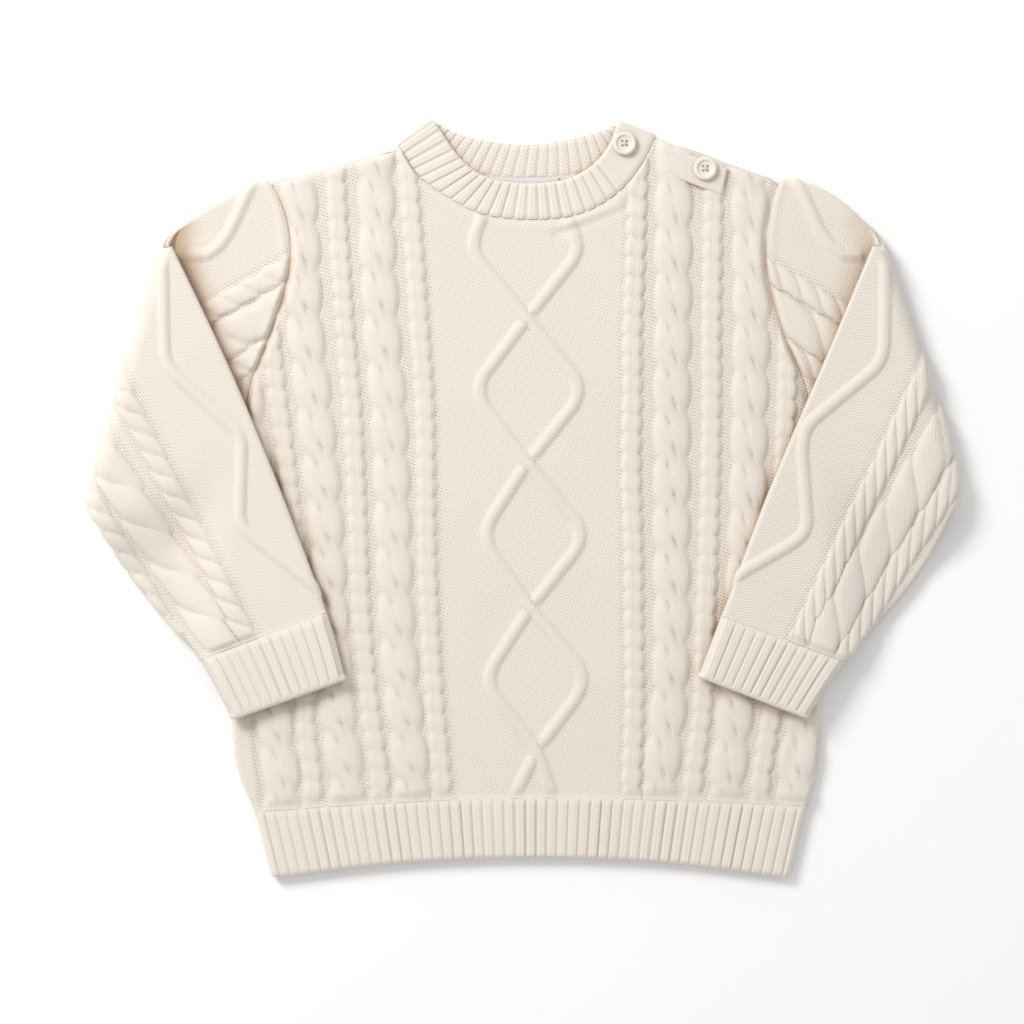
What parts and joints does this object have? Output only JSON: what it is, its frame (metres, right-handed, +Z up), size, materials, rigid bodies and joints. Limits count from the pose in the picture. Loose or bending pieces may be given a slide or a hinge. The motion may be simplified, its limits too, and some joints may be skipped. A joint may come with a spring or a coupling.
{
  "type": "cable knit sweater",
  "caption": "Toddler's crew-neck cable knit pullover with shoulder buttons, laid flat with its sleeves folded over the front; rests on its back.",
  "frame": {"origin": "middle of the outline, on the surface that the garment lies on", "axes": "+X to the wearer's left, +Y towards the collar, +Z up out of the garment's front"},
  "size_m": [0.4378, 0.3811, 0.0154],
  "materials": {
    "knit": "ivory cotton knit with cables, ropes and a diamond trace on a purl ground",
    "rib": "ivory cotton rib knit",
    "label": "blank pale woven tape",
    "button": "cream moulded plastic with a soft sheen"
  },
  "bodies": {
    "root": {"front_panel": "knit", "back_panel": "knit", "front_hem_rib": "rib", "back_hem_rib": "rib", "sleeve_right": "knit", "sleeve_left": "knit", "cuff_right": "rib", "cuff_left": "rib", "neckband": "rib", "shoulder_tab": "rib", "neck_label": "label", "button_neck": "button", "button_shoulder": "button"}
  },
  "joints": []
}
